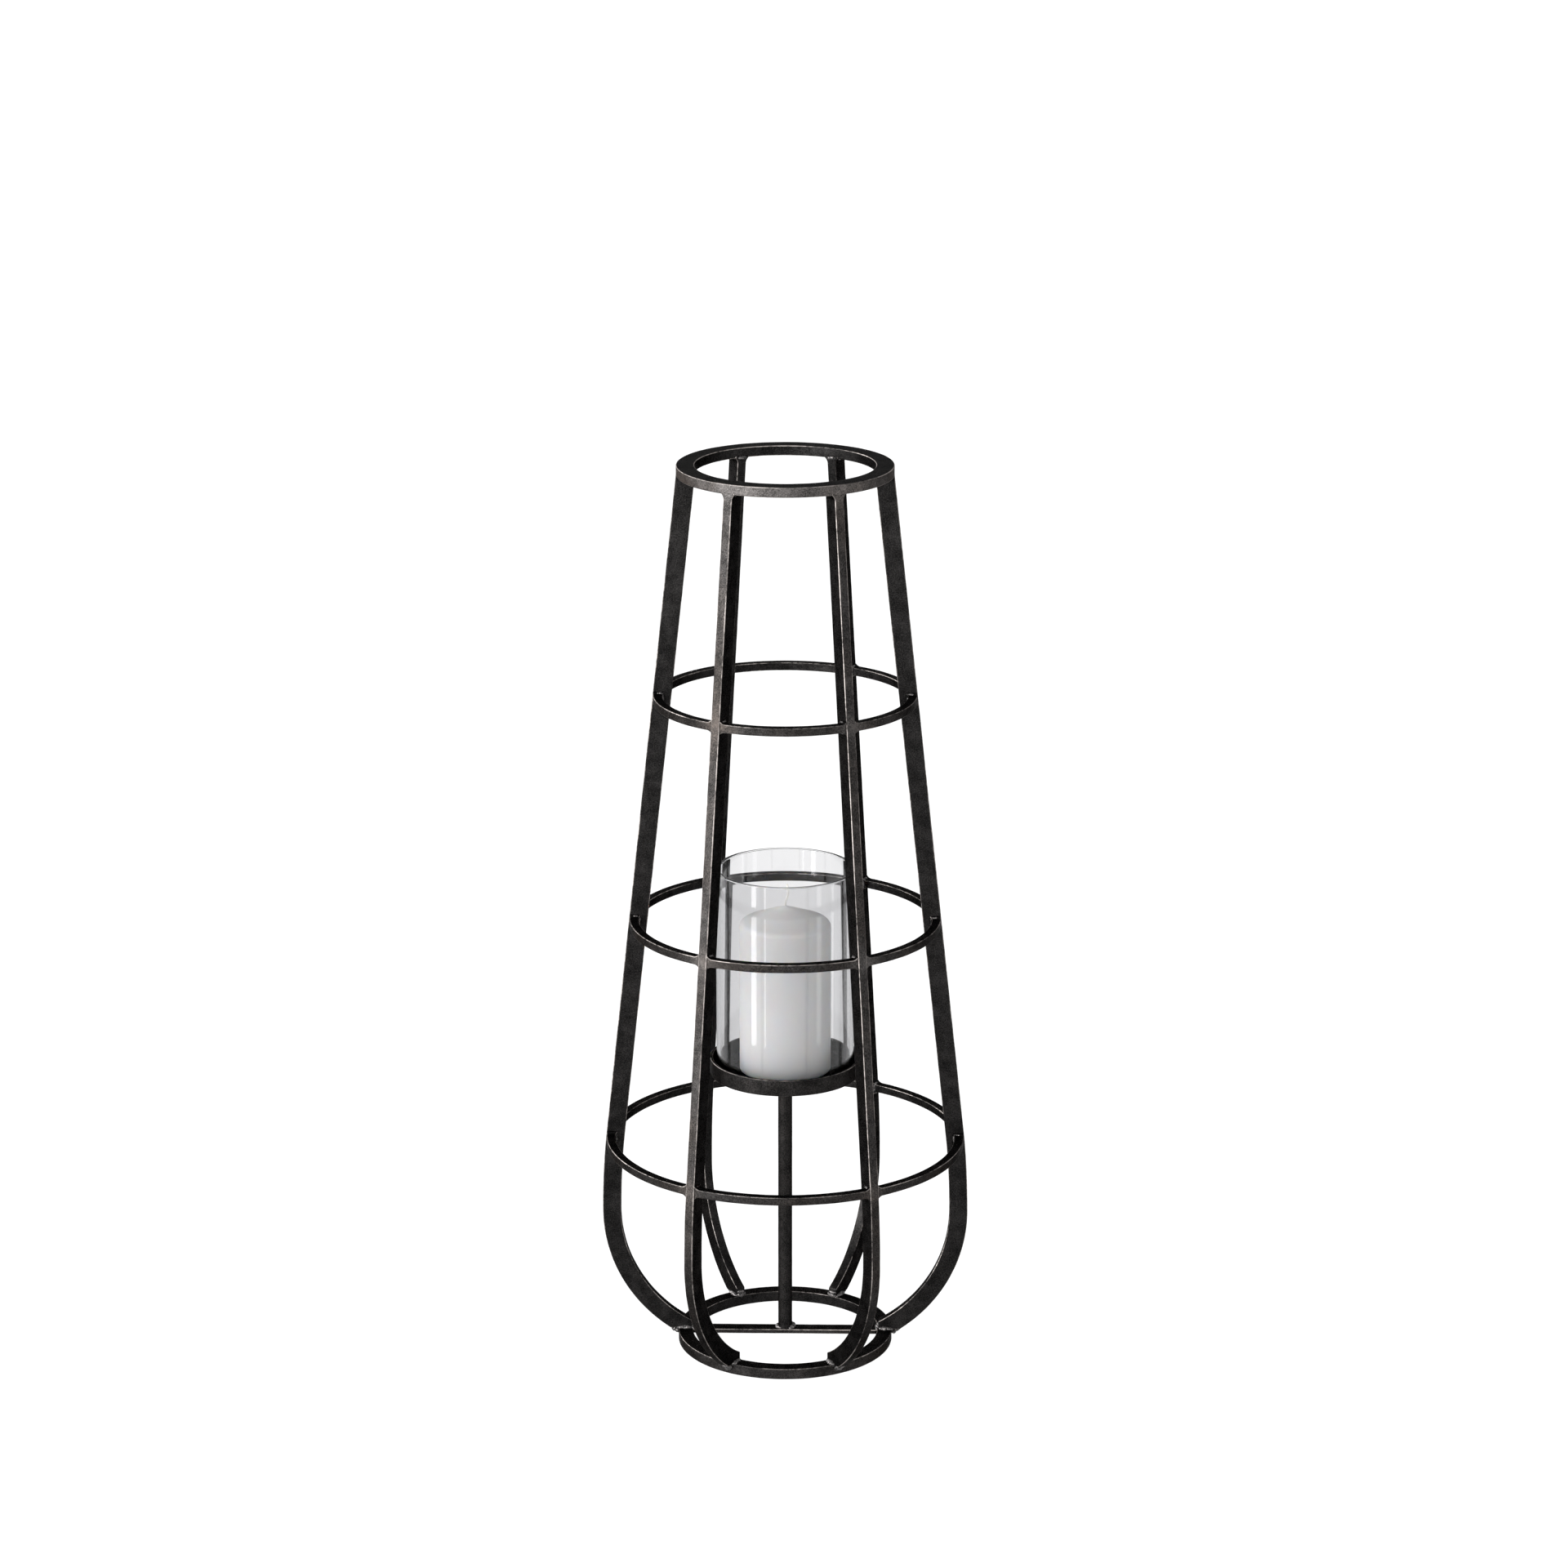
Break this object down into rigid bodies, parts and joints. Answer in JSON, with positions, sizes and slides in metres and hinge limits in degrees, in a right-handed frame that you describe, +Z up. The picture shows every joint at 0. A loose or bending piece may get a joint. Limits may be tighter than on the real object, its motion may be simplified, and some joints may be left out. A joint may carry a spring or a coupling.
{
  "type": "pillar candle holder",
  "caption": "Tall tapered cage of blackened steel bars with a raised dish that holds a glass cylinder and a pillar candle.",
  "frame": {"origin": "on the floor, under the middle of the base ring", "axes": "+Z up along the cage's axis; +X through one rib and along the cross bar"},
  "size_m": [0.3084, 0.301, 0.76],
  "materials": {
    "cage_steel": "blackened, rubbed bright along the edges, satin",
    "dish_steel": "blackened, rubbed bright along the edges, satin",
    "clear_glass": "clear, polished",
    "candle_wax": "smooth white wax, faint gloss",
    "wick_cotton": "waxed braided cotton"
  },
  "bodies": {
    "cage": {"top_ring": "cage_steel", "base_ring": "cage_steel", "rib_1": "cage_steel", "rib_2": "cage_steel", "rib_3": "cage_steel", "rib_4": "cage_steel", "rib_5": "cage_steel", "rib_6": "cage_steel", "upper_hoop_bar_1": "cage_steel", "upper_hoop_bar_2": "cage_steel", "upper_hoop_bar_3": "cage_steel", "upper_hoop_bar_4": "cage_steel", "upper_hoop_bar_5": "cage_steel", "upper_hoop_bar_6": "cage_steel", "middle_hoop_bar_1": "cage_steel", "middle_hoop_bar_2": "cage_steel", "middle_hoop_bar_3": "cage_steel", "middle_hoop_bar_4": "cage_steel", "middle_hoop_bar_5": "cage_steel", "middle_hoop_bar_6": "cage_steel", "lower_hoop_bar_1": "cage_steel", "lower_hoop_bar_2": "cage_steel", "lower_hoop_bar_3": "cage_steel", "lower_hoop_bar_4": "cage_steel", "lower_hoop_bar_5": "cage_steel", "lower_hoop_bar_6": "cage_steel", "cross_bar": "cage_steel", "centre_rod": "cage_steel", "dish_plate": "dish_steel", "dish_rim": "dish_steel"},
    "glass": {"glass_cylinder": "clear_glass"},
    "candle": {"pillar_candle": "candle_wax", "candle_wick": "wick_cotton"}
  },
  "joints": [
    {"name": "glass_lift", "type": "slide", "parent": "cage", "child": "glass", "axis": [0, 0, 1], "range_m": [0, 0.54]},
    {"name": "candle_lift", "type": "slide", "parent": "cage", "child": "candle", "axis": [0, 0, 1], "range_m": [0, 0.54]}
  ]
}
